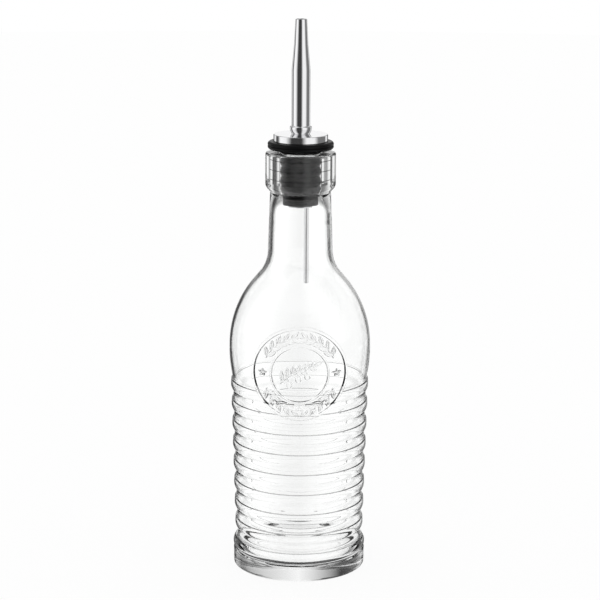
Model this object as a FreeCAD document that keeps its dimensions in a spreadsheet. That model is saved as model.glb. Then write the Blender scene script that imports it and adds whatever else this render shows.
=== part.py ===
"""Glass oil bottle with a pull-out steel pourer, as a parametric document.

Millimetres. Z is the bottle's axis and points up. The origin is the centre of
the flat underside, and the round medallion on the glass faces -Y.
Every round piece is an outline turned about Z. An outline is a list of corners,
each written as a radius and a height in terms of the sheet's driving sizes.
"""
import FreeCAD, Part
import math
import os
import Sketcher

# Driving sizes: alias, value in mm (or a plain share), what it is.
SIZES = [
    # Glass, outside.
    ("bottle_height", 192.0, "underside to the top of the mouth"),
    ("base_radius", 30.25, "plain band round the solid base"),
    ("base_edge", 0.6, "rounded lower edge of the base band"),
    ("band_height", 6.9, "top of the base band"),
    ("groove_radius", 29.7, "groove between base band and heel ring"),
    ("groove_height", 7.5, "middle of that groove"),
    ("heel_radius", 30.4, "crest of the heel ring"),
    ("heel_height", 10.0, "height of that crest"),
    ("heel_fall", 1.2, "how far the heel ring rounds in above its crest"),
    ("heel_rise", 2.4, "over which height it does so"),
    ("wall_low_radius", 28.5, "plain wall just above the heel ring"),
    ("wall_low_height", 12.8, "height of that point"),
    ("wall_top_radius", 30.6, "plain wall just under the shoulder"),
    ("wall_top_height", 88.6, "height of that point"),
    ("rib_count", 8, "rings round the body"),
    ("rib_first", 19.6, "height of the lowest ring's crest"),
    ("rib_pitch", 9.41, "crest to crest"),
    ("rib_height", 0.95, "how far a crest stands out of the wall"),
    ("rib_reach", 4.0, "height of the smooth hollow under a crest"),
    ("rib_rise", 2.4, "height of the rounded top above a crest"),
    ("rib_fall", 0.5, "how far that top rounds in"),
    ("ledge_rise", 0.2, "height of the small step that ends a ring's top"),
    ("shoulder_radius", 32.08, "widest part of the bottle"),
    ("shoulder_low_height", 102.0, "where the shoulder starts to run upright"),
    ("shoulder_height", 104.0, "where it starts to close in"),
    ("shoulder_share", 0.73, "share of the closing curve that bulges outward"),
    ("neck_low_radius", 14.6, "foot of the neck"),
    ("neck_low_height", 148.0, "height of the neck's foot"),
    ("neck_top_radius", 13.68, "neck just under the mouth ring"),
    ("neck_top_height", 174.2, "height of that point"),
    ("ring_foot_radius", 14.9, "underside of the mouth ring"),
    ("ring_foot_height", 175.6, "height of that corner"),
    ("ring_radius", 15.8, "outside of the mouth ring"),
    ("ring_low_height", 177.8, "where the mouth ring starts to run upright"),
    ("ring_edge", 1.0, "rounded upper edge of the mouth ring"),
    # Glass, inside.
    ("floor_height", 7.5, "inner floor, so also the solid base's thickness"),
    ("floor_corner", 5.0, "rounding between floor and wall"),
    ("inner_low_radius", 26.85, "inner wall just above the floor's rounding"),
    ("inner_top_radius", 28.95, "inner wall under the shoulder"),
    ("inner_top_height", 88.0, "height of that point"),
    ("inner_shoulder_radius", 30.5, "widest part of the inside"),
    ("inner_shoulder_height", 104.0, "height of the widest part"),
    ("inner_share", 0.68, "share of the inner closing curve that bulges outward"),
    ("throat_radius", 12.8, "inside of the blown neck"),
    ("throat_low_height", 149.5, "where the neck's inside starts to run upright"),
    ("throat_top_height", 161.5, "where it starts to close in towards the mouth"),
    ("throat_share", 0.65, "share of that closing curve that bulges outward"),
    ("mouth_radius", 9.25, "standard mouth bore that the stopper seals in"),
    ("mouth_low_height", 178.0, "bottom of the mouth bore"),
    ("mouth_edge", 0.6, "rounded inner edge of the mouth"),
    # Raised medallion on the front of the shoulder.
    ("medal_height", 97.7, "height of its centre"),
    ("medal_radius", 21.3, "outside of its rim"),
    ("medal_lift", 0.45, "how far its face stands out of the shoulder"),
    ("medal_low_radius", 31.5, "how far its face is from the bottle's axis, at its foot"),
    ("medal_low_height", 75.0, "where its face starts"),
    ("medal_top_height", 120.0, "where its face ends"),
    ("medal_root_radius", 27.0, "depth that its solid reaches into the glass"),
    ("medal_rim", 1.3, "width of its rim"),
    ("medal_rim_lift", 0.35, "how far rim and inner ring stand out of its face"),
    ("medal_inner_radius", 12.75, "middle of its inner ring"),
    ("medal_inner_width", 0.8, "width of its inner ring"),
    # Rubber stopper.
    ("stopper_low", 169.0, "underside of the stopper"),
    ("stopper_tip_radius", 7.8, "plain lower end"),
    ("stopper_edge", 0.8, "rounding of that end"),
    ("fin_count", 4, "sealing rings"),
    ("fin_first", 173.2, "foot of the lowest sealing ring"),
    ("fin_pitch", 4.4, "height of one sealing ring"),
    ("fin_root_radius", 8.3, "notch between sealing rings"),
    ("fin_gap", 0.05, "running clearance of a sealing ring in the mouth"),
    ("stopper_body_radius", 9.05, "plain part that shows above the mouth"),
    ("flange_low", 193.4, "underside of the stopper's flange"),
    ("flange_high", 196.9, "top of the flange"),
    ("flange_radius", 14.8, "outside of the flange"),
    ("flange_edge", 1.5, "rounding of the flange"),
    ("boss_radius", 11.5, "rubber boss that fills the steel collar"),
    ("boss_high", 199.3, "top of that boss"),
    ("turn_gap", 0.08, "running clearance of the steel parts in the rubber"),
    # Steel pourer.
    ("collar_radius", 12.2, "outside of the round collar"),
    ("collar_low", 196.95, "lower edge of the collar"),
    ("collar_high", 200.1, "top face of the collar"),
    ("collar_wall", 0.6, "sheet thickness of the collar"),
    ("collar_edge", 0.4, "rounding of its upper edge"),
    ("tube_radius", 4.15, "outside of stem and spout tube"),
    ("tube_wall", 0.35, "their wall"),
    ("stem_low", 168.1, "lower end of the stem"),
    ("stem_lip_radius", 5.2, "lip that keeps the rubber on the stem"),
    ("stem_lip", 0.5, "thickness of that lip"),
    ("stem_head_radius", 5.6, "head of the stem, soldered under the collar"),
    ("stem_head", 0.4, "thickness of that head"),
    ("bead_radius", 4.65, "rolled bead at the foot of the spout"),
    ("bead_height", 202.6, "height of its widest line"),
    ("bead_top", 203.4, "upper end of the bead"),
    ("spout_foot_radius", 4.2, "foot of the spout on the collar"),
    ("cone_low", 228.5, "where the spout starts to taper"),
    ("cone_middle", 240.0, "where the taper slackens"),
    ("cone_middle_radius", 3.13, "spout at that height"),
    ("tip_height", 251.0, "top of the spout"),
    ("tip_radius", 2.6, "spout at its tip"),
    ("tip_edge", 0.15, "rounding of the tip's rim"),
    ("air_radius", 1.1, "outside of the air tube"),
    ("air_bore", 0.75, "inside of the air tube"),
    ("air_low", 131.6, "lower end of the air tube"),
    ("air_high", 222.0, "upper end of the air tube, inside the spout"),
    ("air_solder", 0.03, "how deep the air tube sits in the solder on the stem's wall"),
]

dims = {alias: value for alias, value, meaning in SIZES}

doc = FreeCAD.newDocument("oil_bottle")
sheet = doc.addObject("Spreadsheet::Sheet", "dims")
for row, (alias, value, meaning) in enumerate(SIZES, start=1):
    sheet.set(f"A{row}", alias)
    sheet.set(f"B{row}", str(value))
    sheet.set(f"C{row}", meaning)
    sheet.setAlias(f"B{row}", alias)
doc.recompute()


# ---------------------------------------------------------------- outlines
def corner(radius, height, arc=None, side=1):
    """One corner of an outline. arc is the radius of the edge to the next corner.

    side is 1 for an arc that bulges away from the axis on the way up, and -1
    for one that hollows towards it. Without an arc the edge is straight.
    """
    return {"radius": radius, "height": height, "arc": arc, "side": side}


def upright_arc(radius_a, height_a, radius_b, height_b):
    """Radius of the arc between two corners that runs upright at one of them."""
    across = f"({radius_b} - ({radius_a}))"
    up = f"({height_b} - ({height_a}))"
    return f"({across}^2 + {up}^2) / (2 * abs({across}))"


def s_curve(radius_a, height_a, radius_b, height_b, share, first_side):
    """Two tangent arcs, upright at both ends. share is the first arc's part."""
    whole = upright_arc(radius_a, height_a, radius_b, height_b)
    turn_radius = f"{radius_a} + {share} * ({radius_b} - ({radius_a}))"
    turn_height = f"{height_a} + {share} * ({height_b} - ({height_a}))"
    return [
        corner(radius_a, height_a, f"{share} * {whole}", first_side),
        corner(turn_radius, turn_height, f"(1 - {share}) * {whole}", -first_side),
    ]


def plane_of(body, role):
    return next(item for item in body.Origin.OriginFeatures if item.Role == role)


def arc_between(start, end, radius, side):
    """The short arc from start to end, whose centre is left of the way if side is 1."""
    chord = end - start
    middle = (start + end) * 0.5
    offset = math.sqrt(radius**2 - (chord.Length / 2) ** 2)
    left = FreeCAD.Vector(-chord.y, chord.x, 0) / chord.Length
    centre = middle + left * offset * side
    first, last = (start, end) if side == 1 else (end, start)
    angle_a = math.atan2(first.y - centre.y, first.x - centre.x)
    angle_b = math.atan2(last.y - centre.y, last.x - centre.x)
    if angle_b < angle_a:
        angle_b += 2 * math.pi
    circle = Part.Circle(centre, FreeCAD.Vector(0, 0, 1), radius)
    return Part.ArcOfCircle(circle, angle_a, angle_b)


def tie(sketch, kind, places, name, text, value):
    """Adds one size to the sketch and binds it to an expression of the sheet."""
    index = sketch.addConstraint(Sketcher.Constraint(kind, *places, value))
    sketch.renameConstraint(index, name)
    sketch.setExpression(f"Constraints.{name}", text)


def outline(body, name, corners):
    """A closed sketch on the body's XZ plane: radius along X, height along Z."""
    sketch = body.newObject("Sketcher::SketchObject", name)
    sketch.AttachmentSupport = [(plane_of(body, "XZ_Plane"), "")]
    sketch.MapMode = "FlatFace"
    points = [
        FreeCAD.Vector(sheet.evalExpression(c["radius"]), sheet.evalExpression(c["height"]), 0)
        for c in corners
    ]
    edges = []
    starts = []
    ends = []
    for here, point in enumerate(points):
        following = points[(here + 1) % len(points)]
        item = corners[here]
        if item["arc"]:
            radius = sheet.evalExpression(item["arc"])
            edges.append(arc_between(point, following, radius, item["side"]))
        else:
            edges.append(Part.LineSegment(point, following))
        forward = not item["arc"] or item["side"] == 1
        starts.append(1 if forward else 2)
        ends.append(2 if forward else 1)
    sketch.addGeometry(edges, False)
    for here, item in enumerate(corners):
        before = here - 1 if here else len(corners) - 1
        place = (here, starts[here])
        sketch.addConstraint(Sketcher.Constraint("Coincident", before, ends[before], *place))
        for kind, text, value, axis in (
            ("DistanceX", item["radius"], points[here].x, -2),
            ("DistanceY", item["height"], points[here].y, -1),
        ):
            if text == "0":
                sketch.addConstraint(Sketcher.Constraint("PointOnObject", *place, axis))
            else:
                size = f"{'radius' if axis == -2 else 'height'}_{here}"
                tie(sketch, kind, (-1, 1, *place), size, text, value)
        if item["arc"]:
            radius = sheet.evalExpression(item["arc"])
            tie(sketch, "Radius", (here,), f"arc_{here}", item["arc"], radius)
    return sketch


def turned(name, corners):
    """A body whose solid is an outline turned once round Z."""
    body = doc.addObject("PartDesign::Body", name)
    sketch = outline(body, f"{name}_outline", corners)
    turn = body.newObject("PartDesign::Revolution", f"{name}_turn")
    turn.Profile = sketch
    turn.ReferenceAxis = (sketch, ["V_Axis"])
    turn.Angle = 360
    body.Tip = turn
    return body


# ------------------------------------------------------------ glass bottle
def wall_radius(height):
    """Radius of the plain, slightly tapered wall between the rings."""
    slope = (
        "(dims.wall_top_radius - dims.wall_low_radius)"
        " / (dims.wall_top_height - dims.wall_low_height)"
    )
    return f"dims.wall_low_radius + ({height} - dims.wall_low_height) * {slope}"


def rib(number):
    """One ring: smooth hollow, crest, rounded top and the small step above it."""
    crest_height = f"dims.rib_first + {number} * dims.rib_pitch"
    crest_radius = f"{wall_radius(crest_height)} + dims.rib_height"
    foot_height = f"{crest_height} - dims.rib_reach"
    lip_height = f"{crest_height} + dims.rib_rise"
    lip_radius = f"{crest_radius} - dims.rib_fall"
    ledge_height = f"{lip_height} + dims.ledge_rise"
    top_arc = upright_arc(crest_radius, crest_height, lip_radius, lip_height)
    foot = (wall_radius(foot_height), foot_height)
    return s_curve(*foot, crest_radius, crest_height, "0.5", -1) + [
        corner(crest_radius, crest_height, top_arc),
        corner(lip_radius, lip_height),
        corner(wall_radius(ledge_height), ledge_height),
    ]


def glass_outside():
    heel_lip_radius = "dims.heel_radius - dims.heel_fall"
    heel_lip_height = "dims.heel_height + dims.heel_rise"
    groove_arc = upright_arc(
        "dims.groove_radius", "dims.groove_height", "dims.heel_radius", "dims.heel_height"
    )
    heel_arc = upright_arc(
        "dims.heel_radius", "dims.heel_height", heel_lip_radius, heel_lip_height
    )
    shoulder_arc = upright_arc(
        "dims.shoulder_radius",
        "dims.shoulder_low_height",
        "dims.wall_top_radius",
        "dims.wall_top_height",
    )
    ring_arc = upright_arc(
        "dims.ring_radius", "dims.ring_low_height", "dims.ring_foot_radius", "dims.ring_foot_height"
    )
    corners = [
        corner("0", "0"),
        corner("dims.base_radius - dims.base_edge", "0", "dims.base_edge"),
        corner("dims.base_radius", "dims.base_edge"),
        corner("dims.base_radius", "dims.band_height"),
        corner("dims.groove_radius", "dims.groove_height", groove_arc),
        corner("dims.heel_radius", "dims.heel_height", heel_arc),
        corner(heel_lip_radius, heel_lip_height),
        corner("dims.wall_low_radius", "dims.wall_low_height"),
    ]
    for number in range(int(dims["rib_count"])):
        corners += rib(number)
    corners += [
        corner("dims.wall_top_radius", "dims.wall_top_height", shoulder_arc),
        corner("dims.shoulder_radius", "dims.shoulder_low_height"),
    ]
    corners += s_curve(
        "dims.shoulder_radius",
        "dims.shoulder_height",
        "dims.neck_low_radius",
        "dims.neck_low_height",
        "dims.shoulder_share",
        1,
    )
    return corners + [
        corner("dims.neck_low_radius", "dims.neck_low_height"),
        corner("dims.neck_top_radius", "dims.neck_top_height"),
        corner("dims.ring_foot_radius", "dims.ring_foot_height", ring_arc),
        corner("dims.ring_radius", "dims.ring_low_height"),
        corner("dims.ring_radius", "dims.bottle_height - dims.ring_edge", "dims.ring_edge"),
        corner("dims.ring_radius - dims.ring_edge", "dims.bottle_height"),
        corner("0", "dims.bottle_height"),
    ]


def glass_inside():
    """The hollow, run on a little past the mouth so that it cuts right through."""
    above = "dims.bottle_height + 1"
    wall_arc = upright_arc(
        "dims.inner_shoulder_radius",
        "dims.inner_shoulder_height",
        "dims.inner_top_radius",
        "dims.inner_top_height",
    )
    corners = [
        corner("0", "dims.floor_height"),
        corner("dims.inner_low_radius - dims.floor_corner", "dims.floor_height", "dims.floor_corner"),
        corner("dims.inner_low_radius", "dims.floor_height + dims.floor_corner"),
        corner("dims.inner_top_radius", "dims.inner_top_height", wall_arc),
    ]
    corners += s_curve(
        "dims.inner_shoulder_radius",
        "dims.inner_shoulder_height",
        "dims.throat_radius",
        "dims.throat_low_height",
        "dims.inner_share",
        1,
    )
    corners.append(corner("dims.throat_radius", "dims.throat_low_height"))
    corners += s_curve(
        "dims.throat_radius",
        "dims.throat_top_height",
        "dims.mouth_radius",
        "dims.mouth_low_height",
        "dims.throat_share",
        1,
    )
    return corners + [
        corner("dims.mouth_radius", "dims.mouth_low_height"),
        corner("dims.mouth_radius", "dims.bottle_height - dims.mouth_edge", "dims.mouth_edge", -1),
        corner("dims.mouth_radius + dims.mouth_edge", "dims.bottle_height"),
        corner("dims.mouth_radius + dims.mouth_edge", above),
        corner("0", above),
    ]


def medallion_skin(lift):
    """A turned skin whose outside is the medallion's face, raised by lift."""
    crown_radius = f"dims.shoulder_radius + dims.medal_lift + {lift}"
    foot_radius = f"dims.medal_low_radius + {lift}"
    low_arc = upright_arc(crown_radius, "dims.shoulder_height", foot_radius, "dims.medal_low_height")
    shoulder_arc = "dims.shoulder_share * " + upright_arc(
        "dims.shoulder_radius",
        "dims.shoulder_height",
        "dims.neck_low_radius",
        "dims.neck_low_height",
    )
    high_arc = f"({shoulder_arc} + dims.medal_lift + {lift})"
    rise = "(dims.medal_top_height - dims.shoulder_height)"
    top_radius = f"{crown_radius} - {high_arc} + sqrt({high_arc}^2 - {rise}^2)"
    return [
        corner("dims.medal_root_radius", "dims.medal_low_height"),
        corner(foot_radius, "dims.medal_low_height", low_arc),
        corner(crown_radius, "dims.shoulder_height", high_arc),
        corner(top_radius, "dims.medal_top_height"),
        corner("dims.medal_root_radius", "dims.medal_top_height"),
    ]


def front_rod(name, radius):
    """A level rod through the front of the glass, centred on the medallion."""
    rod = doc.addObject("Part::Cylinder", name)
    rod.setExpression("Radius", radius)
    rod.setExpression("Height", "dims.shoulder_radius")
    rod.Placement.Rotation = FreeCAD.Rotation(FreeCAD.Vector(1, 0, 0), 90)
    rod.setExpression("Placement.Base.y", "-dims.medal_root_radius / 2")
    rod.setExpression("Placement.Base.z", "dims.medal_height")
    return rod


def boolean(kind, name, base, tool):
    result = doc.addObject(kind, name)
    result.Base = base
    result.Tool = tool
    return result


def front_ring(name, outer, inner):
    """A raised ring of the medallion, between two level cylinders."""
    skin = turned(f"{name}_skin", medallion_skin("dims.medal_rim_lift"))
    tube = boolean(
        "Part::Cut", f"{name}_tube", front_rod(f"{name}_out", outer), front_rod(f"{name}_in", inner)
    )
    return boolean("Part::Common", name, skin, tube)


def make_glass():
    blank = turned("glass_blank", glass_outside())
    hollow = turned("glass_hollow", glass_inside())
    face = boolean(
        "Part::Common",
        "medal_face",
        turned("medal_skin", medallion_skin("0")),
        front_rod("medal_rod", "dims.medal_radius"),
    )
    rim = front_ring("medal_rim_ring", "dims.medal_radius", "dims.medal_radius - dims.medal_rim")
    half = "dims.medal_inner_width / 2"
    inner = front_ring(
        "medal_inner_ring", f"dims.medal_inner_radius + {half}", f"dims.medal_inner_radius - {half}"
    )
    solid = doc.addObject("Part::MultiFuse", "glass_solid")
    solid.Shapes = [blank, face, rim, inner]
    return boolean("Part::Cut", "glass_bottle", solid, hollow)


# ---------------------------------------------------------- rubber stopper
def make_stopper():
    fin_radius = "(dims.mouth_radius - dims.fin_gap)"
    bulge = f"({fin_radius} - dims.fin_root_radius)"
    fin_arc = f"((dims.fin_pitch / 2)^2 + {bulge}^2) / (2 * {bulge})"
    bore = "dims.tube_radius + dims.turn_gap"
    recess_radius = "dims.stem_head_radius + 3 * dims.turn_gap"
    recess_floor = "dims.collar_high - dims.collar_wall - dims.stem_head - 2 * dims.turn_gap"
    corners = [
        corner(bore, "dims.stopper_low"),
        corner("dims.stopper_tip_radius - dims.stopper_edge", "dims.stopper_low", "dims.stopper_edge"),
        corner("dims.stopper_tip_radius", "dims.stopper_low + dims.stopper_edge"),
        corner("dims.stopper_tip_radius", "dims.fin_first"),
    ]
    for number in range(int(dims["fin_count"])):
        foot = f"dims.fin_first + {number} * dims.fin_pitch"
        corners.append(corner("dims.fin_root_radius", foot, fin_arc))
    top = "dims.fin_first + dims.fin_count * dims.fin_pitch"
    rim = "dims.flange_radius - dims.flange_edge"
    corners += [
        corner("dims.fin_root_radius", top),
        corner("dims.stopper_body_radius", top),
        corner("dims.stopper_body_radius", "dims.flange_low"),
        corner(rim, "dims.flange_low", "dims.flange_edge"),
        corner("dims.flange_radius", "dims.flange_low + dims.flange_edge"),
        corner("dims.flange_radius", "dims.flange_high - dims.flange_edge", "dims.flange_edge"),
        corner(rim, "dims.flange_high"),
        corner("dims.boss_radius", "dims.flange_high"),
        corner("dims.boss_radius", "dims.boss_high"),
        corner(recess_radius, "dims.boss_high"),
        corner(recess_radius, recess_floor),
        corner(bore, recess_floor),
    ]
    return turned("rubber_stopper", corners)


# ------------------------------------------------------------ steel pourer
def make_collar():
    """A shallow cup of sheet steel, open below, with a hole for the flow."""
    skirt = "dims.collar_radius - dims.collar_wall"
    plate = "dims.collar_high - dims.collar_wall"
    hole = "dims.tube_radius - dims.tube_wall"
    corners = [
        corner(skirt, "dims.collar_low"),
        corner("dims.collar_radius", "dims.collar_low"),
        corner("dims.collar_radius", "dims.collar_high - dims.collar_edge", "dims.collar_edge"),
        corner("dims.collar_radius - dims.collar_edge", "dims.collar_high"),
        corner(hole, "dims.collar_high"),
        corner(hole, plate),
        corner(skirt, plate),
    ]
    return turned("collar_cap", corners)


def make_stem():
    """The tube through the rubber: a head under the collar and a lip below."""
    bore = "dims.tube_radius - dims.tube_wall"
    plate = "dims.collar_high - dims.collar_wall"
    corners = [
        corner(bore, "dims.stem_low"),
        corner("dims.stem_lip_radius", "dims.stem_low"),
        corner("dims.stem_lip_radius", "dims.stem_low + dims.stem_lip"),
        corner("dims.tube_radius", "dims.stem_low + dims.stem_lip"),
        corner("dims.tube_radius", f"{plate} - dims.stem_head"),
        corner("dims.stem_head_radius", f"{plate} - dims.stem_head"),
        corner("dims.stem_head_radius", plate),
        corner(bore, plate),
    ]
    return turned("stem_tube", corners)


def make_spout():
    """The tapered spout: foot and rolled bead on the collar, open at the tip."""
    bore = "dims.tube_radius - dims.tube_wall"
    tip_bore = "dims.tip_radius - dims.tube_wall"
    middle_bore = "dims.cone_middle_radius - dims.tube_wall"
    bead_low_arc = upright_arc(
        "dims.bead_radius", "dims.bead_height", "dims.spout_foot_radius", "dims.collar_high"
    )
    bead_high_arc = upright_arc(
        "dims.bead_radius", "dims.bead_height", "dims.tube_radius", "dims.bead_top"
    )
    corners = [
        corner(bore, "dims.collar_high"),
        corner("dims.spout_foot_radius", "dims.collar_high", bead_low_arc),
        corner("dims.bead_radius", "dims.bead_height", bead_high_arc),
        corner("dims.tube_radius", "dims.bead_top"),
        corner("dims.tube_radius", "dims.cone_low"),
        corner("dims.cone_middle_radius", "dims.cone_middle"),
        corner("dims.tip_radius", "dims.tip_height - dims.tip_edge", "dims.tip_edge"),
        corner("dims.tip_radius - dims.tip_edge", "dims.tip_height"),
        corner(tip_bore, "dims.tip_height"),
        corner(middle_bore, "dims.cone_middle"),
        corner(bore, "dims.cone_low"),
    ]
    return turned("pour_spout", corners)


def make_air_tube():
    """A straight thin tube beside the axis, soldered to the stem's inner wall."""
    across = "dims.tube_radius - dims.tube_wall - dims.air_radius + dims.air_solder"
    outside = doc.addObject("Part::Cylinder", "air_outside")
    inside = doc.addObject("Part::Cylinder", "air_inside")
    for rod, radius, extra in ((outside, "dims.air_radius", "0"), (inside, "dims.air_bore", "1")):
        rod.setExpression("Radius", radius)
        rod.setExpression("Height", f"dims.air_high - dims.air_low + 2 * {extra}")
        rod.setExpression("Placement.Base.x", across)
        rod.setExpression("Placement.Base.z", f"dims.air_low - {extra}")
    return boolean("Part::Cut", "air_tube", outside, inside)


nodes = [
    make_glass(),
    make_stopper(),
    make_collar(),
    make_stem(),
    make_spout(),
    make_air_tube(),
]
doc.recompute()

# ------------------------------------------------------- check and export
for item in doc.Objects:
    faults = {"Invalid", "Error"} & set(item.State)
    if faults:
        raise RuntimeError(f"{item.Name}: {faults}")
for node in nodes:
    shape = node.Shape
    if shape.isNull() or not shape.isValid() or len(shape.Solids) != 1:
        raise RuntimeError(f"{node.Name}: the solid is missing or not valid")
os.makedirs("parts", exist_ok=True)
for node in nodes:
    node.Shape.exportStep(f"parts/{node.Label}.step")
    box = node.Shape.BoundBox
    print(f"{node.Label:16s} {node.Shape.Volume / 1000:8.2f} cm3  z {box.ZMin:7.2f} to {box.ZMax:7.2f}")
hollow_shape = doc.getObject("glass_hollow").Shape
print(f"capacity to the brim {hollow_shape.Volume / 1000:.1f} cm3")
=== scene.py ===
"""Looks of a clear glass oil bottle with a pull-out steel pourer.

Sizes are in millimetres, and a mesh is scaled to metres when it is made. The
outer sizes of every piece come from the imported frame; the named sizes below
only shape the outlines between them. Angles round the bottle start at its
front, which faces -Y, and grow towards +X.
"""
import math

import bpy
import numpy as np
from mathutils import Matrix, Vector
from mathutils.geometry import delaunay_2d_cdt


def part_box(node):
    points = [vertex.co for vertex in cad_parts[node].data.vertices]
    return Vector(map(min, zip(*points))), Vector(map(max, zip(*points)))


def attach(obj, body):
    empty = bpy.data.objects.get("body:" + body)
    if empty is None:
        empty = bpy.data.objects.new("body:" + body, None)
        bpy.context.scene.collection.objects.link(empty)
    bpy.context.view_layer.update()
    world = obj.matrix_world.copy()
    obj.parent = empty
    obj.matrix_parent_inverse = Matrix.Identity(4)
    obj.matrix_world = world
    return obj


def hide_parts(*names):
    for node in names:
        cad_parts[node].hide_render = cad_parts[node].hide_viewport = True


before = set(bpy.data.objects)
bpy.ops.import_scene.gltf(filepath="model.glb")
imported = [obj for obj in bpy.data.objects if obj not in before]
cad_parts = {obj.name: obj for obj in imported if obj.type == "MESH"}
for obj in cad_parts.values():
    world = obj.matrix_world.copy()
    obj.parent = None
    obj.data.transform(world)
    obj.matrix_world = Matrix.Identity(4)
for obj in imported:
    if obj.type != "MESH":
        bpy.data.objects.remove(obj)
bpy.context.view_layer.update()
MM = 0.001


def extent(node):
    """Lowest and highest corner of a node of the frame, in millimetres."""
    low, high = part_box(node)
    return low / MM, high / MM


glass_low, glass_high = extent("glass_bottle")
rubber_low, rubber_high = extent("rubber_stopper")
collar_low, collar_high = extent("collar_cap")
stem_low, stem_high = extent("stem_tube")
spout_low, spout_high = extent("pour_spout")
air_low, air_high = extent("air_tube")

# Glass, outside. A pair is a radius and a height.
BOTTLE_HEIGHT = glass_high.z
SHOULDER_RADIUS = glass_high.x
BAND_RADIUS = 30.25
BAND_EDGE = 0.6
BAND_HEIGHT = 6.9
GROOVE = (29.7, 7.5)
HEEL = (30.4, 10.0)
HEEL_LIP = (29.2, 12.4)
WALL_LOW = (28.5, 12.5)
WALL_TOP = (30.6, 88.6)
RIB_COUNT = 8
RIB_FIRST = 19.6
RIB_PITCH = 9.41
RIB_HEIGHT = 0.95
RIB_REACH = 4.0
RIB_RISE = 2.4
RIB_FALL = 0.22
LEDGE_RISE = 0.03
SHOULDER_LOW = 102.0
SHOULDER_TOP = 104.0
SHOULDER_SHARE = 0.73
NECK_FOOT = (14.6, 148.0)
NECK_TOP = (13.68, 174.2)
RING_FOOT = (14.9, 175.6)
RING_LOW = (15.8, 177.8)
RING_EDGE = 1.0
# Glass, inside.
MOUTH_RADIUS = 9.25
MOUTH_EDGE = 0.6
MOUTH_LOW = 178.0
THROAT_TOP = 161.5
THROAT_SHARE = 0.65
WALL = 1.25
SHOULDER_WALL = 1.15
NECK_WALL = 1.85
INNER_RISE = 3.4
INNER_SHARE_OF_RIB = 0.8
INNER_HEEL = (28.7, 10.6)
INNER_HEEL_TOP = 15.0
FLOOR_HEIGHT = 7.5
FLOOR_CORNER = INNER_HEEL[1] - FLOOR_HEIGHT
# Medallion on the front of the shoulder.
MEDAL_HEIGHT = 97.7
MEDAL_RADIUS = 21.3
MEDAL_CROWN = SHOULDER_RADIUS + 0.45
MEDAL_FOOT = (31.5, 75.0)
MEDAL_RIM = 1.3
MEDAL_RING = 12.75
MEDAL_RING_WIDTH = 0.8
RELIEF = 0.6
# Rubber stopper.
TIP_RADIUS = 7.8
TIP_EDGE = 0.8
FIN_COUNT = 4
FIN_FIRST = 173.2
FIN_PITCH = 4.4
FIN_ROOT = 8.3
FIN_SQUEEZE = 0.008
BODY_RADIUS = 9.05
FLANGE_LOW = 193.4
FLANGE_TOP = 196.9
FLANGE_RADIUS = rubber_high.x
FLANGE_EDGE = 1.3
FLANGE_GROOVE = (0.45, 0.35)
BOSS_RADIUS = 11.5
# Steel.
COLLAR_RADIUS = collar_high.x
COLLAR_WALL = 0.6
COLLAR_EDGE = 0.4
TUBE_RADIUS = 4.15
TUBE_WALL = 0.35
STEM_LIP = (5.2, 0.5)
STEM_HEAD = (5.6, 0.4)
SPOUT_FOOT = 3.95
BEAD = (4.9, 203.0)
BEAD_TOP = 203.8
CONE_LOW = 228.5
CONE_MIDDLE = (3.13, 240.0)
TIP_STEEL = 2.6
TIP_ROLL = 0.15
AIR_BORE = 0.75
# How far corners are rounded: fire-polished glass, moulded rubber, drawn steel.
GLASS_POLISH = 0.05
RUBBER_POLISH = 0.1
STEEL_POLISH = 0.05


# ---------------------------------------------------------------- outlines
def upright(r0, z0, r1, z1):
    """Radius of the arc between two points that runs upright at one of them."""
    return ((r1 - r0) ** 2 + (z1 - z0) ** 2) / (2 * abs(r1 - r0))


def s_curve(r0, z0, r1, z1, share, side):
    """Corners of two tangent arcs that run upright at both ends."""
    whole = upright(r0, z0, r1, z1)
    middle = (r0 + share * (r1 - r0), z0 + share * (z1 - z0))
    return [(r0, z0, share * whole, side), (*middle, (1 - share) * whole, -side)]


def arc_points(start, end, radius, side):
    """Points of the short arc without its end; side 1 has its centre left of the way."""
    start, end = np.array(start), np.array(end)
    way = end - start
    chord = np.hypot(*way)
    left = np.array([-way[1], way[0]]) / chord
    depth = math.sqrt(max(radius**2 - chord**2 / 4, 0))
    centre = (start + end) / 2 + left * depth * side
    first = math.atan2(*(start - centre)[::-1])
    sweep = 2 * math.asin(min(chord / 2 / radius, 1)) * side
    angles = first + sweep * np.linspace(0, 1, max(6, int(abs(sweep) * radius / 0.1)))[:-1]
    return centre + radius * np.column_stack([np.cos(angles), np.sin(angles)])


def trace(corners, closed=False):
    """A fine polyline through corners; one with four values starts an arc."""
    pieces = []
    ends = corners[1:] + (corners[:1] if closed else [])
    for here, following in zip(corners, ends):
        if len(here) == 4:
            pieces.append(arc_points(here[:2], following[:2], *here[2:]))
        else:
            pieces.append(np.array([here[:2]]))
    pieces.append(np.array([corners[0 if closed else -1][:2]]))
    return np.vstack(pieces)


def along(points):
    """Distance travelled at each point of a polyline."""
    return np.concatenate([[0], np.cumsum(np.hypot(*np.diff(points, axis=0).T))])


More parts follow.
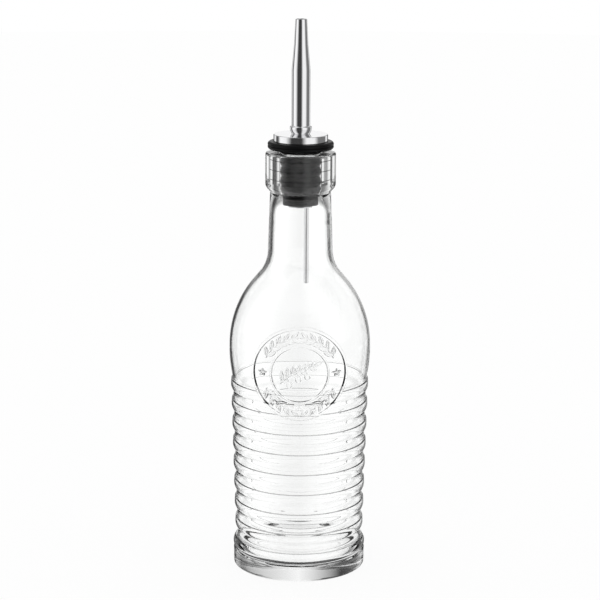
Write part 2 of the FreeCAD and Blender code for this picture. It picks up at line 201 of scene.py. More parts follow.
def soften(points, spread, closed=False):
    """Evenly spaced points of a polyline whose corners are rounded by about spread."""
    travel = along(points)
    count = int(travel[-1] / 0.03)
    places = np.linspace(0, travel[-1], count + 1)
    dense = np.column_stack([np.interp(places, travel, points[:, k]) for k in (0, 1)])
    step = travel[-1] / count
    reach = int(4 * spread / step)
    weight = np.exp(-0.5 * (np.arange(-reach, reach + 1) * step / spread) ** 2)
    weight /= weight.sum()
    if closed:
        before, after = dense[-reach - 1:-1], dense[1:reach + 1]
    else:
        before = 2 * dense[0] - dense[reach:0:-1]
        after = 2 * dense[-1] - dense[-2:-reach - 2:-1]
    padded = np.vstack([before, dense, after])
    return np.column_stack([np.convolve(padded[:, k], weight, "valid") for k in (0, 1)])


def rows_of(points, longest, per_turn):
    """Places along a fine polyline: at most longest apart, and per_turn more for each radian."""
    heading = np.unwrap(np.arctan2(*np.diff(points, axis=0).T[::-1]))
    turn = np.concatenate([[0], np.abs(np.diff(heading)), [0]])
    load = along(points) / longest + per_turn * np.cumsum(turn)
    wanted = np.linspace(0, load[-1], int(math.ceil(load[-1])) + 1)
    return np.interp(wanted, load, np.arange(len(points)))


def pick(points, places):
    """Values of a fine polyline at fractional indices."""
    index = np.arange(len(points))
    return np.column_stack([np.interp(places, index, points[:, k]) for k in (0, 1)])


# ------------------------------------------------------------------ meshes
def make_piece(name, vertices, faces, normals=None):
    """A smooth-shaded object from points in millimetres."""
    mesh = bpy.data.meshes.new(name)
    mesh.from_pydata((np.asarray(vertices) * MM).tolist(), [], faces)
    mesh.polygons.foreach_set("use_smooth", [True] * len(mesh.polygons))
    mesh.update()
    if normals is not None:
        mesh.normals_split_custom_set_from_vertices(normals.tolist())
    piece = bpy.data.objects.new(name, mesh)
    bpy.context.scene.collection.objects.link(piece)
    return piece


def around(radius, height, angle, centre=(0, 0)):
    """Points at an angle round the axis, counted from the front."""
    x = centre[0] + radius * np.sin(angle)
    y = centre[1] - radius * np.cos(angle)
    return np.stack(np.broadcast_arrays(x, y, height), -1)


def turned(name, corners, spread, longest, per_turn, columns=128, centre=(0, 0)):
    """A ring-shaped piece: a closed outline turned about an upright line."""
    fine = soften(trace(corners, closed=True), spread, closed=True)
    rows = pick(fine, rows_of(fine, longest, per_turn)[:-1])
    angle = np.arange(columns) * 2 * math.pi / columns
    vertices = around(rows[:, :1], rows[:, 1:], angle[None, :], centre).reshape(-1, 3)
    faces = [
        (row + col, row + right, above + right, above + col)
        for row, above in ((r * columns, (r + 1) % len(rows) * columns) for r in range(len(rows)))
        for col, right in ((c, (c + 1) % columns) for c in range(columns))
    ]
    return make_piece(name, vertices, faces)


# ------------------------------------------------------------------- glass
def wall_radius(height):
    """The plain, slightly tapered wall between the rings."""
    share = (height - WALL_LOW[1]) / (WALL_TOP[1] - WALL_LOW[1])
    return WALL_LOW[0] + share * (WALL_TOP[0] - WALL_LOW[0])


def rib(number):
    """One ring: smooth hollow, crest, rounded top and the small step above it."""
    crest_height = RIB_FIRST + number * RIB_PITCH
    crest = (wall_radius(crest_height) + RIB_HEIGHT, crest_height)
    foot_height = crest_height - RIB_REACH
    lip = (crest[0] - RIB_FALL, crest_height + RIB_RISE)
    ledge_height = lip[1] + LEDGE_RISE
    return s_curve(wall_radius(foot_height), foot_height, *crest, 0.5, -1) + [
        (*crest, upright(*crest, *lip), 1),
        lip,
        (wall_radius(ledge_height), ledge_height),
    ]


def inner_rib(number):
    """The inside behind one ring, from the top down: blown glass follows its mould softly."""
    crest_height = RIB_FIRST + number * RIB_PITCH
    crest = (wall_radius(crest_height) - WALL + INNER_SHARE_OF_RIB * RIB_HEIGHT, crest_height)
    top, foot = crest_height + INNER_RISE, crest_height - RIB_REACH
    rise = s_curve(wall_radius(top) - WALL, top, *crest, 0.5, 1)
    return rise + s_curve(*crest, wall_radius(foot) - WALL, foot, 0.5, -1)


def inner_shoulder(outside):
    """Points behind the neck and the shoulder, from the top down, one wall's thickness in."""
    even = soften(outside, 1.0)
    way = np.gradient(even, axis=0)
    way /= np.hypot(*way.T)[:, None]
    heights = [WALL_TOP[1], SHOULDER_TOP, NECK_FOOT[1], THROAT_TOP]
    walls = [WALL, SHOULDER_WALL, NECK_WALL, NECK_WALL]
    wall = np.interp(even[:, 1], heights, walls)[:, None]
    inside = even + wall * np.column_stack([-way[:, 1], way[:, 0]])
    rising = np.arange(len(even)) < int(np.argmax(even[:, 1]))
    keep = rising & (inside[:, 1] > WALL_TOP[1]) & (inside[:, 1] < THROAT_TOP)
    return [tuple(point) for point in inside[keep][::-10]]


def glass_outline():
    """From the middle of the underside, up the outside and down the inside to the floor."""
    widest = (SHOULDER_RADIUS, SHOULDER_LOW)
    corners = [
        (0, 0),
        (BAND_RADIUS - BAND_EDGE, 0, BAND_EDGE, 1),
        (BAND_RADIUS, BAND_EDGE),
        (BAND_RADIUS, BAND_HEIGHT),
        (*GROOVE, upright(*GROOVE, *HEEL), 1),
        (*HEEL, upright(*HEEL, *HEEL_LIP), 1),
        HEEL_LIP,
        WALL_LOW,
    ]
    for number in range(RIB_COUNT):
        corners += rib(number)
    corners += [(*WALL_TOP, upright(*WALL_TOP, *widest), 1), widest]
    corners += s_curve(SHOULDER_RADIUS, SHOULDER_TOP, *NECK_FOOT, SHOULDER_SHARE, 1)
    corners += [
        NECK_FOOT,
        NECK_TOP,
        (*RING_FOOT, upright(*RING_FOOT, *RING_LOW), 1),
        RING_LOW,
        (RING_LOW[0], BOTTLE_HEIGHT - RING_EDGE, RING_EDGE, 1),
        (RING_LOW[0] - RING_EDGE, BOTTLE_HEIGHT),
        (MOUTH_RADIUS + MOUTH_EDGE, BOTTLE_HEIGHT, MOUTH_EDGE, 1),
        (MOUTH_RADIUS, BOTTLE_HEIGHT - MOUTH_EDGE),
    ]
    inside = inner_shoulder(trace(corners))
    corners += s_curve(MOUTH_RADIUS, MOUTH_LOW, *inside[0], 1 - THROAT_SHARE, 1)
    corners += inside
    for number in reversed(range(RIB_COUNT)):
        corners += inner_rib(number)
    heel_top = (wall_radius(INNER_HEEL_TOP) - WALL, INNER_HEEL_TOP)
    corners += s_curve(*heel_top, *INNER_HEEL, 0.5, 1)
    return corners + [
        (*INNER_HEEL, FLOOR_CORNER, -1),
        (INNER_HEEL[0] - FLOOR_CORNER, FLOOR_HEIGHT),
        (0, FLOOR_HEIGHT),
    ]


def smooth(share):
    """0 below 0, 1 above 1, and an even S between."""
    share = np.clip(share, 0, 1)
    return share * share * (3 - 2 * share)


FLANK = 0.36


def raised(inside):
    """Height share of a raised shape, from the distance inside its outline."""
    return smooth(inside / FLANK + 0.5)


def leaf(x, y, place, heading, length, width):
    """A pointed leaf with a groove along its middle."""
    run = (x - place[0]) * math.cos(heading) + (y - place[1]) * math.sin(heading)
    off = (y - place[1]) * math.cos(heading) - (x - place[0]) * math.sin(heading)
    share = run / length
    half = 2.2 * width * share * (1 - share) * (1.25 - 0.5 * share)
    body = raised(np.where((share > 0) & (share < 1), half - np.abs(off), -1))
    return body * (1 - 0.5 * np.exp(-((off / 0.15) ** 2)))


def olive(x, y, place, heading, length, width):
    """An oval fruit."""
    run = (x - place[0]) * math.cos(heading) + (y - place[1]) * math.sin(heading)
    off = (y - place[1]) * math.cos(heading) - (x - place[0]) * math.sin(heading)
    size = np.hypot(run / (length / 2), off / (width / 2))
    return raised((1 - size) * width / 2)


def twig(x, y, points, width):
    """A thin stem through points."""
    nearest = np.full(np.shape(x), 99.0)
    for (x0, y0), (x1, y1) in zip(points, points[1:]):
        dx, dy = x1 - x0, y1 - y0
        share = np.clip(((x - x0) * dx + (y - y0) * dy) / (dx * dx + dy * dy), 0, 1)
        nearest = np.minimum(nearest, np.hypot(x - x0 - share * dx, y - y0 - share * dy))
    return raised(width / 2 - nearest)


def wreath(x, y):
    """Two olive branches round the band of the medallion, and a small star between them."""
    radius = (MEDAL_RING + MEDAL_RADIUS - MEDAL_RIM) / 2 + 0.1
    height = np.zeros(np.shape(x))
    for turn in (1, -1):
        for middle in (90, -90):
            angles = np.radians(middle + turn * np.linspace(2, 64, 15))
            stem = [(radius * math.cos(a), radius * math.sin(a)) for a in angles]
            height = np.maximum(height, twig(x, y, stem, 0.36))
            for count in range(5):
                spot = math.radians(middle + turn * (62 - 12.4 * count))
                place = (radius * math.cos(spot), radius * math.sin(spot))
                back = spot - turn * math.pi / 2
                for lean in (0.62, -0.62):
                    height = np.maximum(height, leaf(x, y, place, back + lean, 4.5, 1.45))
    for side in (1, -1):
        for arm in range(5):
            heading = math.radians(90 + 72 * arm)
            place = (side * radius, 0)
            height = np.maximum(height, leaf(x, y, place, heading, 2.0, 0.8))
    return height


def sprig(x, y):
    """An olive sprig with three fruits in the middle of the medallion."""
    stem = [(-8.6 + 1.0 * k, -4.2 + 0.62 * k + 1.1 * math.sin(k / 3.2)) for k in range(16)]
    height = twig(x, y, stem, 0.45)
    for count in range(1, 14, 2):
        place = stem[count]
        ahead = math.atan2(stem[count + 1][1] - place[1], stem[count + 1][0] - place[0])
        size = 5.2 - 0.16 * count
        for side in (1, -1):
            if side == 1 or count in (1, 5, 9, 13):
                heading = ahead + side * (0.95 - 0.02 * count)
                height = np.maximum(height, leaf(x, y, place, heading, size, 1.4))
    height = np.maximum(height, leaf(x, y, stem[-1], 0.5, 4.2, 1.3))
    for count, drop in ((3, 3.2), (7, 3.4), (11, 3.3)):
        x0, y0 = stem[count]
        place = (x0 + 0.9, y0 - drop)
        height = np.maximum(height, olive(x, y, place, -1.3, 2.9, 2.2))
        height = np.maximum(height, twig(x, y, [(x0, y0), (place[0] - 0.3, place[1] + 1.3)], 0.35))
    return height


def medal_face(height):
    """Distance of the medallion's plain face from the bottle's axis."""
    rise = height - SHOULDER_TOP
    low_arc = upright(MEDAL_CROWN, SHOULDER_TOP, *MEDAL_FOOT)
    shoulder_arc = SHOULDER_SHARE * upright(SHOULDER_RADIUS, SHOULDER_TOP, *NECK_FOOT)
    high_arc = shoulder_arc + MEDAL_CROWN - SHOULDER_RADIUS
    arc = np.where(rise < 0, low_arc, high_arc)
    return MEDAL_CROWN - arc + np.sqrt(arc**2 - rise**2)


def front_radius(angle, height, wall):
    """Radius of the glass at the front, with the medallion; wall is the plain profile."""
    face = medal_face(height)
    x = face * np.sin(angle)
    y = height - MEDAL_HEIGHT
    out = np.hypot(x, y)
    plain = np.interp(height, wall[:, 1], wall[:, 0])
    plate = smooth((MEDAL_RADIUS - out) / (2 * FLANK) + 0.5)
    rim = raised(MEDAL_RADIUS - 0.1 - out) * raised(out - MEDAL_RADIUS + MEDAL_RIM)
    ring = raised(MEDAL_RING_WIDTH / 2 - np.abs(out - MEDAL_RING))
    relief = np.maximum(rim, ring)
    relief = np.maximum(relief, np.maximum(wreath(x, y), sprig(x, y)))
    return plain + plate * (face - plain) + RELIEF * relief


def front_points(wall, rows, half_angle, column):
    """Angles and heights of the front's inner points: close where the relief has edges."""
    angles = []
    heights = []

    def add(angle, height):
        angles.append(np.ravel(angle))
        heights.append(np.ravel(height))

    def from_plane(x, y):
        height = MEDAL_HEIGHT + y
        add(np.arcsin(x / medal_face(height)), height)

    edges = [MEDAL_RADIUS, MEDAL_RADIUS - MEDAL_RIM]
    edges += [MEDAL_RING + MEDAL_RING_WIDTH / 2, MEDAL_RING - MEDAL_RING_WIDTH / 2]
    radii = sorted({
        round(edge + share * FLANK, 3)
        for edge in edges
        for share in (-1.6, -1.1, -0.7, -0.35, 0, 0.35, 0.7, 1.1, 1.6)
    })
    radii = [b for a, b in zip([0] + radii, radii) if b - a > 0.07]
    for radius in radii:
        count = int(2 * math.pi * radius / 0.36)
        turn = np.arange(count) * 2 * math.pi / count
        from_plane(radius * np.sin(turn), radius * np.cos(turn))
    gap = 0.14
    across, up = np.meshgrid(
        np.arange(-MEDAL_RADIUS, MEDAL_RADIUS, gap),
        np.arange(-MEDAL_RADIUS, MEDAL_RADIUS, gap * math.sqrt(0.75)),
    )
    across = across + (np.arange(len(across)) % 2)[:, None] * gap / 2
    relief = np.maximum(wreath(across, up), sprig(across, up))
    row, col = np.indices(across.shape)
    sloping = (relief > 0.01) & (relief < 0.99)
    keep = sloping | ((row % 4 == 0) & (col % 4 == 0))
    out = np.hypot(across, up)
    near = np.min([np.abs(out - radius) for radius in radii], axis=0)
    keep &= (near > gap) & (out < MEDAL_RADIUS - MEDAL_RIM)
    from_plane(across[keep], up[keep])
    angle, height = np.meshgrid(np.arange(-half_angle + column, half_angle, column), rows)
    out = np.hypot(medal_face(height) * np.sin(angle), height - MEDAL_HEIGHT)
    keep = (out > max(radii) + 0.4) & (np.abs(angle) < half_angle - column / 2)
    add(angle[keep], height[keep])
    return np.concatenate(angles), np.concatenate(heights)


def make_glass(columns=120, front_columns=16):
    """The bottle in one closed skin, with a finer net of points over the medallion."""
    fine = soften(trace(glass_outline()), GLASS_POLISH)
    places = rows_of(fine, 2.2, 8)
    rows = pick(fine, places)
    tangent = pick(np.gradient(fine, axis=0), places)
    tangent /= np.hypot(*tangent.T)[:, None]
    column = 2 * math.pi / columns
    angle = np.arange(columns) * column
    last = len(rows) - 1
    rings = around(rows[1:last, :1], rows[1:last, 1:], angle[None, :])
    facing = around(tangent[1:last, 1:], -tangent[1:last, :1], angle[None, :])
    vertices = [[(0, 0, rows[0, 1])], rings.reshape(-1, 3), [(0, 0, rows[last, 1])]]
    normals = [[(0, 0, -1)], facing.reshape(-1, 3), [(0, 0, 1)]]
    pole = 1 + (last - 1) * columns

    def index(row, col):
        return 1 + (row - 1) * columns + col % columns

    margin = MEDAL_RADIUS + 3
    outside = int(np.argmax(rows[:, 1]))
    low = int(np.searchsorted(rows[:outside, 1], MEDAL_HEIGHT - margin))
    high = int(np.searchsorted(rows[:outside, 1], MEDAL_HEIGHT + margin))
    faces = []
    for col in range(columns):
        faces.append((0, index(1, col + 1), index(1, col)))
        faces.append((pole, index(last - 1, col), index(last - 1, col + 1)))
        front = min(col, columns - 1 - col) < front_columns
        for row in range(1, last - 1):
            if not (front and low <= row < high):
                corner = [(row, col), (row, col + 1), (row + 1, col + 1), (row + 1, col)]
                faces.append(tuple(index(*spot) for spot in corner))

    half_angle = front_columns * column
    wall = fine[: int(np.argmax(fine[:, 1]))]
    wall = wall[wall[:, 1] > BAND_HEIGHT]
    new_angle, new_height = front_points(wall, rows[low + 1:high, 1], half_angle, column / 2)
    border = [(low, col) for col in range(-front_columns, front_columns)]
    border += [(row, front_columns) for row in range(low, high)]
    border += [(high, col) for col in range(front_columns, -front_columns, -1)]
    border += [(row, -front_columns) for row in range(high, low, -1)]
    flat = [(col * column * SHOULDER_RADIUS, rows[row, 1]) for row, col in border]
    flat += list(zip(new_angle * SHOULDER_RADIUS, new_height))
    loop = [(k, (k + 1) % len(border)) for k in range(len(border))]
    points, _, triangles, sources, _, _ = delaunay_2d_cdt(
        [Vector(p) for p in flat], loop, [], 1, 1e-6, True
    )
    start = pole + 1
    names = [index(*spot) for spot in border] + list(range(start, start + len(new_angle)))
    for triangle in triangles:
        a, b, c = (points[k] for k in triangle)
        order = triangle if (b - a).cross(c - a) > 0 else triangle[::-1]
        faces.append(tuple(names[sources[k][0]] for k in order))

    radius = front_radius(new_angle, new_height, wall)
    step = 0.01
    turn = step / SHOULDER_RADIUS

    def place(da, dz):
        at, up = new_angle + da, new_height + dz
        return around(front_radius(at, up, wall), up, at)

    slope = np.cross(place(turn, 0) - place(-turn, 0), place(0, step) - place(0, -step))
    slope /= np.linalg.norm(slope, axis=1)[:, None]
    vertices.append(around(radius, new_height, new_angle))
    normals.append(slope)
    return make_piece("bottle_glass", np.vstack(vertices), faces, np.vstack(normals))


# ------------------------------------------------------- stopper and steel
def make_stopper():
    """The rubber stopper, its sealing rings squeezed against the mouth of the glass."""
    bulge = MOUTH_RADIUS + FIN_SQUEEZE - FIN_ROOT
    fin_arc = ((FIN_PITCH / 2) ** 2 + bulge**2) / (2 * bulge)
    bore = TUBE_RADIUS
    top = FIN_FIRST + FIN_COUNT * FIN_PITCH
    groove = (FLANGE_LOW + FLANGE_TOP) / 2
    recess = (STEM_HEAD[0] + 0.1, collar_high.z - COLLAR_WALL - STEM_HEAD[1] - 0.05)
    corners = [
        (bore, rubber_low.z),
        (TIP_RADIUS - TIP_EDGE, rubber_low.z, TIP_EDGE, 1),
        (TIP_RADIUS, rubber_low.z + TIP_EDGE),
        (TIP_RADIUS, FIN_FIRST),
    ]
    corners += [(FIN_ROOT, FIN_FIRST + k * FIN_PITCH, fin_arc, 1) for k in range(FIN_COUNT)]
    corners += [
        (FIN_ROOT, top),
        (BODY_RADIUS, top),
        (BODY_RADIUS, FLANGE_LOW),
        (FLANGE_RADIUS - FLANGE_EDGE, FLANGE_LOW, FLANGE_EDGE, 1),
        (FLANGE_RADIUS, FLANGE_LOW + FLANGE_EDGE),
        (FLANGE_RADIUS, groove - FLANGE_GROOVE[1]),
        (FLANGE_RADIUS - FLANGE_GROOVE[0], groove),
        (FLANGE_RADIUS, groove + FLANGE_GROOVE[1]),
        (FLANGE_RADIUS, FLANGE_TOP - FLANGE_EDGE, FLANGE_EDGE, 1),
        (FLANGE_RADIUS - FLANGE_EDGE, FLANGE_TOP),
        (BOSS_RADIUS, FLANGE_TOP),
        (BOSS_RADIUS, rubber_high.z),
        (recess[0], rubber_high.z),
        recess,
        (bore, recess[1]),
    ]
    return turned("stopper_rubber", corners, RUBBER_POLISH, 0.9, 7)


def make_collar():
    """A shallow cup of sheet steel, open below, with a hole for the flow."""
    skirt = COLLAR_RADIUS - COLLAR_WALL
    plate = collar_high.z - COLLAR_WALL
    hole = TUBE_RADIUS - TUBE_WALL
    corners = [
        (skirt, collar_low.z),
        (COLLAR_RADIUS, collar_low.z),
        (COLLAR_RADIUS, collar_high.z - COLLAR_EDGE, COLLAR_EDGE, 1),
        (COLLAR_RADIUS - COLLAR_EDGE, collar_high.z),
        (hole, collar_high.z),
        (hole, plate),
        (skirt, plate),
    ]
    return turned("collar_steel", corners, STEEL_POLISH, 0.8, 7)


def make_stem():
    """The tube through the rubber: a head under the collar and a lip below."""
    bore = TUBE_RADIUS - TUBE_WALL
    corners = [
        (bore, stem_low.z),
        (STEM_LIP[0], stem_low.z),
        (STEM_LIP[0], stem_low.z + STEM_LIP[1]),
        (TUBE_RADIUS, stem_low.z + STEM_LIP[1]),
        (TUBE_RADIUS, stem_high.z - STEM_HEAD[1]),
        (STEM_HEAD[0], stem_high.z - STEM_HEAD[1]),
        (STEM_HEAD[0], stem_high.z),
        (bore, stem_high.z),
    ]
    return turned("stem_steel", corners, STEEL_POLISH, 1.5, 6, columns=96)


def make_spout():
    """The tapered spout: foot and rolled bead on the collar, open at the tip."""
    bore = TUBE_RADIUS - TUBE_WALL
    foot = (SPOUT_FOOT, spout_low.z)
    bead_end = (TUBE_RADIUS, BEAD_TOP)
    corners = [
        (bore, spout_low.z),
        (*foot, upright(*BEAD, *foot), 1),
        (*BEAD, upright(*BEAD, *bead_end), 1),
        bead_end,
        (TUBE_RADIUS, CONE_LOW),
        CONE_MIDDLE,
        (TIP_STEEL, spout_high.z - TIP_ROLL, TIP_ROLL, 1),
        (TIP_STEEL - TIP_ROLL, spout_high.z),
        (TIP_STEEL - TUBE_WALL, spout_high.z),
        (CONE_MIDDLE[0] - TUBE_WALL, CONE_MIDDLE[1]),
        (bore, CONE_LOW),
    ]
    return turned("spout_steel", corners, STEEL_POLISH, 1.2, 7)


def make_air_tube():
    """The thin tube that lets air in while oil pours out."""
    outer = (air_high.x - air_low.x) / 2
    centre = ((air_low.x + air_high.x) / 2, 0)
    corners = [
        (AIR_BORE, air_low.z),
        (outer, air_low.z),
        (outer, air_high.z),
        (AIR_BORE, air_high.z),
    ]
    return turned("air_steel", corners, STEEL_POLISH, 2.5, 6, columns=48, centre=centre)


# --------------------------------------------------------------- materials
CLEAR_TINT = (0.992, 0.995, 0.993, 1)
# Colour of the painted shade: a thin dark line on the small steps over the rings.
PAINTED_LEDGE_SHADE = (0.28, 0.28, 0.28, 1)


def new_material(name, **values):
    """A material with one Principled shader, and that shader's plain values."""
    material = bpy.data.materials.new(name)
    material.use_nodes = True
    shader = material.node_tree.nodes["Principled BSDF"]
    for socket, value in values.items():
        shader.inputs[socket.replace("_", " ")].default_value = value
    return material, material.node_tree, shader


def add_node(tree, kind, **settings):
    """A node with its attributes set, or its inputs where a setting names one."""
    node = tree.nodes.new(kind)
    for key, value in settings.items():
        if hasattr(node, key):
            setattr(node, key, value)
        else:
            node.inputs[key.replace("_", " ")].default_value = value
    return node


def noise(tree, vector, **settings):
    node = add_node(tree, "ShaderNodeTexNoise", **settings)
    tree.links.new(vector, node.inputs["Vector"])
    return node.outputs["Fac"]


def map_range(tree, value, before, after):
    """Maps one range of values evenly onto another, and holds its ends."""
    node = add_node(
        tree, "ShaderNodeMapRange",
        From_Min=before[0], From_Max=before[1], To_Min=after[0], To_Max=after[1],
    )
    tree.links.new(value, node.inputs["Value"])
    return node.outputs["Result"]


def spread(tree, factor, low, high):
    """Turns a noise's middle range into values from low to high."""
    return map_range(tree, factor, (0.3, 0.7), (low, high))


def bump(tree, shader, layers):
    """Chained bumps; each layer is a height and its depth in metres."""
    normal = None
    for height, depth in layers:
        node = add_node(tree, "ShaderNodeBump", Strength=1.0, Distance=depth)
        tree.links.new(height, node.inputs["Height"])
        if normal:
            tree.links.new(normal, node.inputs["Normal"])
        normal = node.outputs["Normal"]
    tree.links.new(normal, shader.inputs["Normal"])


def place_vector(tree, scale=(1, 1, 1)):
    """The point on the object, in metres, stretched by scale."""
    place = add_node(tree, "ShaderNodeTexCoord").outputs["Object"]
    node = add_node(tree, "ShaderNodeMapping")
    node.inputs["Scale"].default_value = scale
    tree.links.new(place, node.inputs["Vector"])
    return node.outputs["Vector"]


def painted_ledge_shade_mask(tree):
    """1 on the small steps over the rings, where a thin dark line of painted shade goes into the
    glass colour.
    """
    parts = add_node(tree, "ShaderNodeSeparateXYZ")
    tree.links.new(place_vector(tree, (1 / MM, 1 / MM, 1 / MM)), parts.inputs[0])
    x, y, height = parts.outputs
    squares = [math_node(tree, "MULTIPLY", side, side) for side in (x, y)]
    radius = math_node(tree, "SQRT", math_node(tree, "ADD", *squares), 0)
    slope = (WALL_TOP[0] - WALL_LOW[0]) / (WALL_TOP[1] - WALL_LOW[1])
    plain = math_node(tree, "MULTIPLY", math_node(tree, "SUBTRACT", height, WALL_LOW[1]), slope)
    beyond = math_node(tree, "SUBTRACT", radius, plain)
    outside = math_node(tree, "GREATER_THAN", beyond, WALL_LOW[0] - 0.2)
    below = math_node(tree, "LESS_THAN", height, WALL_TOP[1] + 2)
    above = math_node(tree, "GREATER_THAN", height, BAND_HEIGHT + 3)
    first = RIB_FIRST + RIB_RISE - RIB_PITCH
    count = math_node(tree, "DIVIDE", math_node(tree, "SUBTRACT", height, first), RIB_PITCH)
    apart = math_node(tree, "PINGPONG", count, 0.5)
    near = fade(tree, apart, 0.08 / RIB_PITCH, 0.18 / RIB_PITCH, 0.0)
    mask = math_node(tree, "MULTIPLY", near, outside)
    return math_node(tree, "MULTIPLY", mask, math_node(tree, "MULTIPLY", below, above))


def glass_material():
    """Clear container glass: faint waves from blowing, a finer ripple from the mould, and painted
    shade on the small steps over the rings.
    """
    material, tree, shader = new_material(
        "clear_glass",
        Base_Color=CLEAR_TINT,
        Transmission_Weight=1.0,
        IOR=1.5,
        Roughness=0.0,
    )
    # Painted shade: the small steps over the rings get a dark glass colour in place of the line
    # their refraction draws.
    base_colour = choose(tree, painted_ledge_shade_mask(tree), CLEAR_TINT, PAINTED_LEDGE_SHADE)
    tree.links.new(base_colour, shader.inputs["Base Color"])
    waves = noise(tree, place_vector(tree, (1, 1, 0.6)), Scale=75.0, Detail=1.5)
    ripple = noise(tree, place_vector(tree), Scale=420.0, Detail=1.0)
    bump(tree, shader, [(waves, 0.00005), (ripple, 0.000004)])
    return material


def rubber_material():
    """Black moulded rubber with a satin skin, a fine grain and a little dust."""
    material, tree, shader = new_material(
        "black_rubber",
        Base_Color=(0.004, 0.004, 0.0042, 1),
        Roughness=0.36,
        Specular_IOR_Level=0.1,
    )
    cloud = noise(tree, place_vector(tree), Scale=160.0, Detail=3.0)
    grain = noise(tree, place_vector(tree), Scale=2600.0, Detail=2.0)
    tree.links.new(spread(tree, cloud, 0.3, 0.42), shader.inputs["Roughness"])
    bump(tree, shader, [(cloud, 0.00006), (grain, 0.000012)])
    return material


def steel_material(name, colour, roughness, line_depth):
    """Turned or drawn stainless steel: fine lines round it and soft cloudy wear."""
    material, tree, shader = new_material(
        name, Base_Color=(*colour, 1), Metallic=1.0, Roughness=roughness, Anisotropic=0.35
    )
    lines = noise(tree, place_vector(tree, (1, 1, 60)), Scale=70.0, Detail=3.0)
    cloud = noise(tree, place_vector(tree), Scale=140.0, Detail=4.0)
    wear = spread(tree, cloud, roughness * 0.8, roughness * 1.3)
    tree.links.new(wear, shader.inputs["Roughness"])
    bump(tree, shader, [(lines, line_depth)])
    return material


# ------------------------------------------------------------------ studio
def azimuth_ramp(tree, azimuth, stops):
    """Brightness by direction. A stop is an angle, 0 to the front and 90 to the right."""
    node = add_node(tree, "ShaderNodeValToRGB")
    tree.links.new(azimuth, node.inputs["Fac"])
    points = node.color_ramp.elements
    while len(points) < len(stops):
        points.new(0.5)
    for point, (angle, value) in zip(points, stops):
        point.position = angle / 360 + 0.5
        point.color = (value, value, value, 1)
    return node.outputs["Color"]


def math_node(tree, operation, first, second):
    node = add_node(tree, "ShaderNodeMath", operation=operation)
    for socket, value in zip(node.inputs, (first, second)):
        if isinstance(value, (int, float)):
            socket.default_value = value
        else:
            tree.links.new(value, socket)
    return node.outputs["Value"]


def choose(tree, switch, otherwise, then):
    """A colour that is then where switch is 1, and otherwise where it is 0."""
    node = add_node(tree, "ShaderNodeMix", data_type="RGBA")
    for place, value in ((0, switch), (6, otherwise), (7, then)):
        if isinstance(value, tuple):
            node.inputs[place].default_value = value
        else:
            tree.links.new(value, node.inputs[place])
    return node.outputs[2]


def fade(tree, value, start, end, least):
    """1 up to start, and least from end on."""
    return map_range(tree, value, (start, end), (1.0, least))


def offset(tree, value, shift):
    """How far a value is from minus shift."""
    return math_node(tree, "ABSOLUTE", math_node(tree, "ADD", value, shift), 0)


# Downward slopes of rays that have crossed one wall: a middle and a reach to either side.
RING_RAYS = (0.1635, 0.0095)
WALL_RAYS = (0.155, 0.175)
WHITE = (1, 1, 1, 1)
STEEP_DARK = (0.05, 0.05, 0.05, 1)


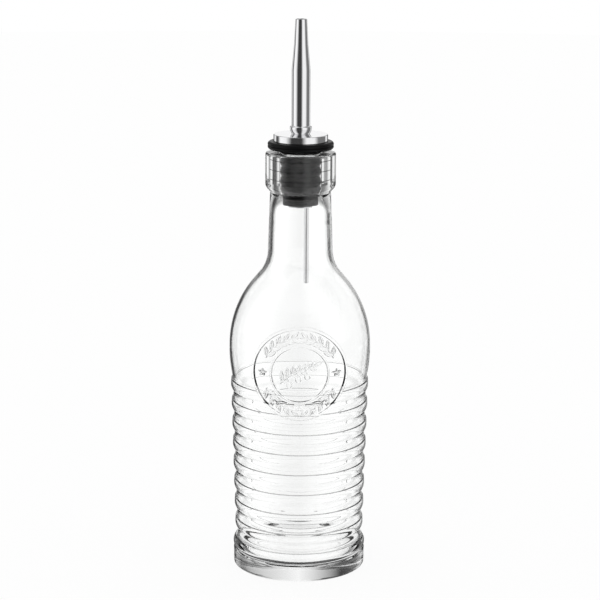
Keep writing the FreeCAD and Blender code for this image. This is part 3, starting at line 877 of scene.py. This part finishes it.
def make_studio_light():
    """Surroundings that are white to the camera and have lights and flags for other rays.

    The brightness depends on the direction and on the way a ray came: mirrored, through
    one wall of the glass or through two. It is fixed in the room, so the glass gets
    darker where a view looks through it at a flag.
    """
    world = bpy.data.worlds.new("studio")
    bpy.context.scene.world = world
    world.use_nodes = True
    tree = world.node_tree
    direction = add_node(tree, "ShaderNodeTexCoord").outputs["Generated"]
    parts = add_node(tree, "ShaderNodeSeparateXYZ")
    tree.links.new(direction, parts.inputs[0])
    x, y, z = parts.outputs
    turn = math_node(tree, "ARCTAN2", x, math_node(tree, "MULTIPLY", y, -1))
    azimuth = math_node(tree, "ADD", math_node(tree, "DIVIDE", turn, 2 * math.pi), 0.5)
    # Strip lights and flags with soft edges, as stops of angle and brightness.
    gloss = azimuth_ramp(tree, azimuth, [
        (-180, 1.0), (-170, 0.9), (-165, 0.1), (-150, 0.1), (-145, 0.9), (-130, 0.9), (-125, 0.1),
        (-110, 0.1), (-95, 1.1), (-65, 1.0), (-40, 0.05), (5, 0.05), (25, 1.0), (60, 1.0), (80, 0.2),
        (125, 0.2), (130, 0.9), (145, 0.9), (150, 0.1), (165, 0.1), (170, 0.9), (180, 1.0),
    ])
    high = azimuth_ramp(tree, azimuth, [
        (-180, 1.0), (-175, 1.0), (-165, 0.05), (-135, 0.05), (-120, 1.0), (-110, 0.4), (-60, 0.4),
        (-20, 1.0), (20, 1.0), (60, 0.1), (110, 0.1), (115, 1.0), (120, 1.0), (130, 0.35),
        (150, 0.35), (170, 1.0), (180, 1.0),
    ])
    edge = azimuth_ramp(tree, azimuth, [
        (-180, 1.0), (-175, 1.0), (-165, 0.05), (-135, 0.05), (-125, 0.5), (-110, 0.1), (-60, 0.2),
        (-20, 1.0), (20, 1.0), (60, 0.1), (150, 0.1), (170, 1.0), (180, 1.0),
    ])
    base = azimuth_ramp(tree, azimuth, [
        (-180, 1.0), (-150, 0.05), (-120, 0.15), (-100, 1.0), (80, 1.0), (100, 0.1), (130, 0.25),
        (180, 1.0),
    ])
    clear = azimuth_ramp(tree, azimuth, [
        (-180, 1.0), (-170, 1.25), (-160, 1.0), (-155, 0.05), (-145, 0.05), (-140, 1.0), (-45, 1.0),
        (-30, 0.3), (15, 0.3), (45, 1.0), (140, 1.0), (145, 0.05), (155, 0.05), (160, 1.0),
        (170, 1.25), (180, 1.0),
    ])
    path = add_node(tree, "ShaderNodeLightPath")
    crossings = path.outputs["Transmission Depth"]
    mirrored = math_node(tree, "GREATER_THAN", path.outputs["Glossy Depth"], 0.5)
    through_any = math_node(tree, "GREATER_THAN", crossings, 0.5)
    through_both = math_node(tree, "GREATER_THAN", crossings, 3.5)
    wall_only = math_node(tree, "SUBTRACT", through_any, through_both)
    level = math_node(tree, "LESS_THAN", offset(tree, z, RING_RAYS[0]), RING_RAYS[1])
    sloping = math_node(tree, "GREATER_THAN", offset(tree, z, WALL_RAYS[0]), WALL_RAYS[1])
    wall = choose(tree, level, edge, high)
    wall = choose(tree, sloping, wall, base)
    wall = choose(tree, fade(tree, z, -0.7, -0.6, 0.0), wall, STEEP_DARK)
    clear = choose(tree, fade(tree, z, -0.46, -0.4, 0.0), clear, WHITE)
    colour = choose(tree, mirrored, WHITE, gloss)
    colour = choose(tree, through_both, colour, clear)
    colour = choose(tree, wall_only, colour, wall)
    low_sky = fade(tree, z, 0.06, 0.22, 0.3)
    high_sky = math_node(tree, "SUBTRACT", 1, fade(tree, z, 0.26, 0.34, 0.0))
    tilt = math_node(tree, "MAXIMUM", low_sky, high_sky)
    dim = add_node(tree, "ShaderNodeMix", data_type="FLOAT")
    dim.inputs[2].default_value = 1.0
    tree.links.new(through_both, dim.inputs[0])
    tree.links.new(tilt, dim.inputs[3])
    background = tree.nodes["Background"]
    tree.links.new(colour, background.inputs["Color"])
    tree.links.new(dim.outputs[0], background.inputs["Strength"])


def make_floor():
    """A plain pale floor that the camera sees, with only a breath of shadow."""
    radius = 2.5
    bpy.ops.mesh.primitive_circle_add(vertices=128, radius=radius, fill_type="NGON")
    floor = bpy.context.object
    floor.name = "floor"
    material, tree, shader = new_material(
        "pale_floor", Base_Color=(0.9, 0.9, 0.9, 1), Roughness=0.9
    )
    glow = add_node(tree, "ShaderNodeEmission", Strength=1.0)
    mix = add_node(tree, "ShaderNodeMixShader")
    mix.inputs["Fac"].default_value = 0.08
    tree.links.new(glow.outputs[0], mix.inputs[1])
    tree.links.new(shader.outputs[0], mix.inputs[2])
    tree.links.new(mix.outputs[0], tree.nodes["Material Output"].inputs["Surface"])
    floor.data.materials.append(material)
    floor.visible_transmission = False
    floor.visible_glossy = False


def make_camera():
    """Level with the pourer and a little above the bottle, looking slightly down."""
    data = bpy.data.cameras.new("camera")
    data.lens = 123
    camera = bpy.data.objects.new("camera", data)
    bpy.context.scene.collection.objects.link(camera)
    camera.location = (0, -0.9059, 0.3349)
    camera.rotation_euler = (math.radians(90 - 13.1), 0, 0)
    camera.rotation_euler.rotate_axis("Z", math.radians(0.27))
    bpy.context.scene.camera = camera


# ---------------------------------------------------------------- assembly
def fit(piece, material, body, node):
    """Gives a piece its finish and its place in the frame."""
    piece.data.materials.append(material)
    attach(piece, body)
    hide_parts(node)


collar_steel = steel_material("collar_steel", (0.86, 0.86, 0.87), 0.09, 0.000006)
spout_steel = steel_material("spout_steel", (0.88, 0.88, 0.89), 0.07, 0.000003)
tube_steel = steel_material("tube_steel", (0.78, 0.78, 0.79), 0.16, 0.000003)
fit(make_glass(), glass_material(), "bottle", "glass_bottle")
fit(make_stopper(), rubber_material(), "stopper", "rubber_stopper")
fit(make_collar(), collar_steel, "pourer", "collar_cap")
fit(make_stem(), tube_steel, "pourer", "stem_tube")
fit(make_spout(), spout_steel, "pourer", "pour_spout")
fit(make_air_tube(), tube_steel, "pourer", "air_tube")

make_studio_light()
make_floor()
make_camera()
bpy.context.scene.view_settings.view_transform = "Standard"
